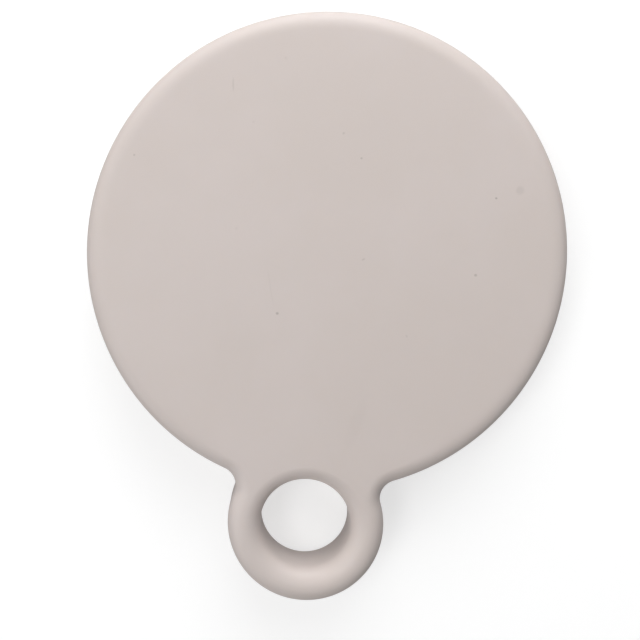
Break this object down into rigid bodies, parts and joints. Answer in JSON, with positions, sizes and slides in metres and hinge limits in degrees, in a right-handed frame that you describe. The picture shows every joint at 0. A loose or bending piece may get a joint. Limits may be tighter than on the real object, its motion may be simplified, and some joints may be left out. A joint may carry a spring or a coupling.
{
  "type": "eyelet disc",
  "caption": "Flat round disc with softly rounded edges and a round eyelet moulded onto its rim, for hanging, tying or clipping it to something.",
  "frame": {"origin": "centre of the disc on its flat back face", "axes": "+Z out of the front face, +Y away from the eyelet, +X to the right when the front is looked at with the eyelet down"},
  "size_m": [0.07, 0.0867, 0.0089],
  "materials": {
    "moulded_plastic": "warm off-white, satin moulded surface"
  },
  "bodies": {
    "root": {"eyelet_disc": "moulded_plastic"}
  },
  "joints": []
}
